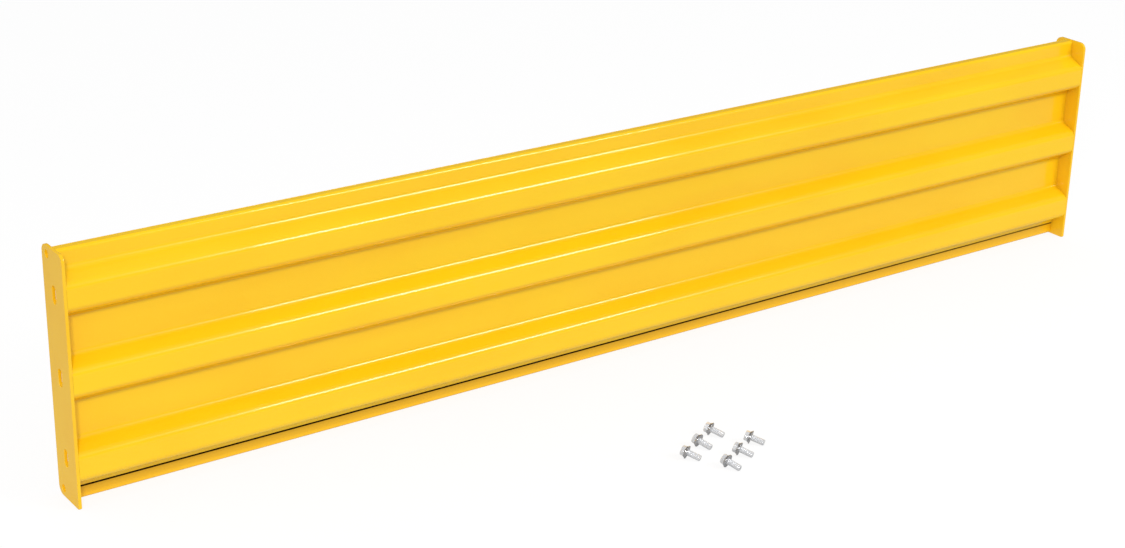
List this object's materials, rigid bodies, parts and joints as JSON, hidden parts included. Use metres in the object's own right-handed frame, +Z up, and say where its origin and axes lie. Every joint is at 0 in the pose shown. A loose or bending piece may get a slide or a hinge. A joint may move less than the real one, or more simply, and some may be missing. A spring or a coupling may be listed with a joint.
{
  "type": "industrial guard rail",
  "caption": "Yellow ribbed steel guard rail with slotted end plates that bolt between posts to protect walkways, machines and racks from trucks; its fasteners lie beside it.",
  "frame": {"origin": "centre of the left end plate's outer face, which bolts against a post's bracket", "axes": "+X runs along the rail to the right end plate, -Y is the ribbed front, +Z is up"},
  "size_m": [2, 0.4815, 0.381],
  "materials": {
    "rail_paint": "glossy safety-yellow powder coat",
    "plate_paint": "glossy safety-yellow powder coat",
    "weld_paint": "glossy safety-yellow powder coat over the welds",
    "bolt_zinc": "bright zinc plating",
    "washer_zinc": "bright zinc plating"
  },
  "bodies": {
    "root": {"rail_sheet": "rail_paint", "left_end_plate": "plate_paint", "right_end_plate": "plate_paint", "left_welds": "weld_paint", "right_welds": "weld_paint", "bolt_1": "bolt_zinc", "bolt_2": "bolt_zinc", "bolt_3": "bolt_zinc", "bolt_4": "bolt_zinc", "bolt_5": "bolt_zinc", "bolt_6": "bolt_zinc", "lock_washer_1": "washer_zinc", "lock_washer_2": "washer_zinc", "lock_washer_3": "washer_zinc", "lock_washer_4": "washer_zinc", "lock_washer_5": "washer_zinc", "lock_washer_6": "washer_zinc", "flat_washer_1": "washer_zinc", "flat_washer_2": "washer_zinc", "flat_washer_3": "washer_zinc", "flat_washer_4": "washer_zinc", "flat_washer_5": "washer_zinc", "flat_washer_6": "washer_zinc"}
  },
  "joints": []
}
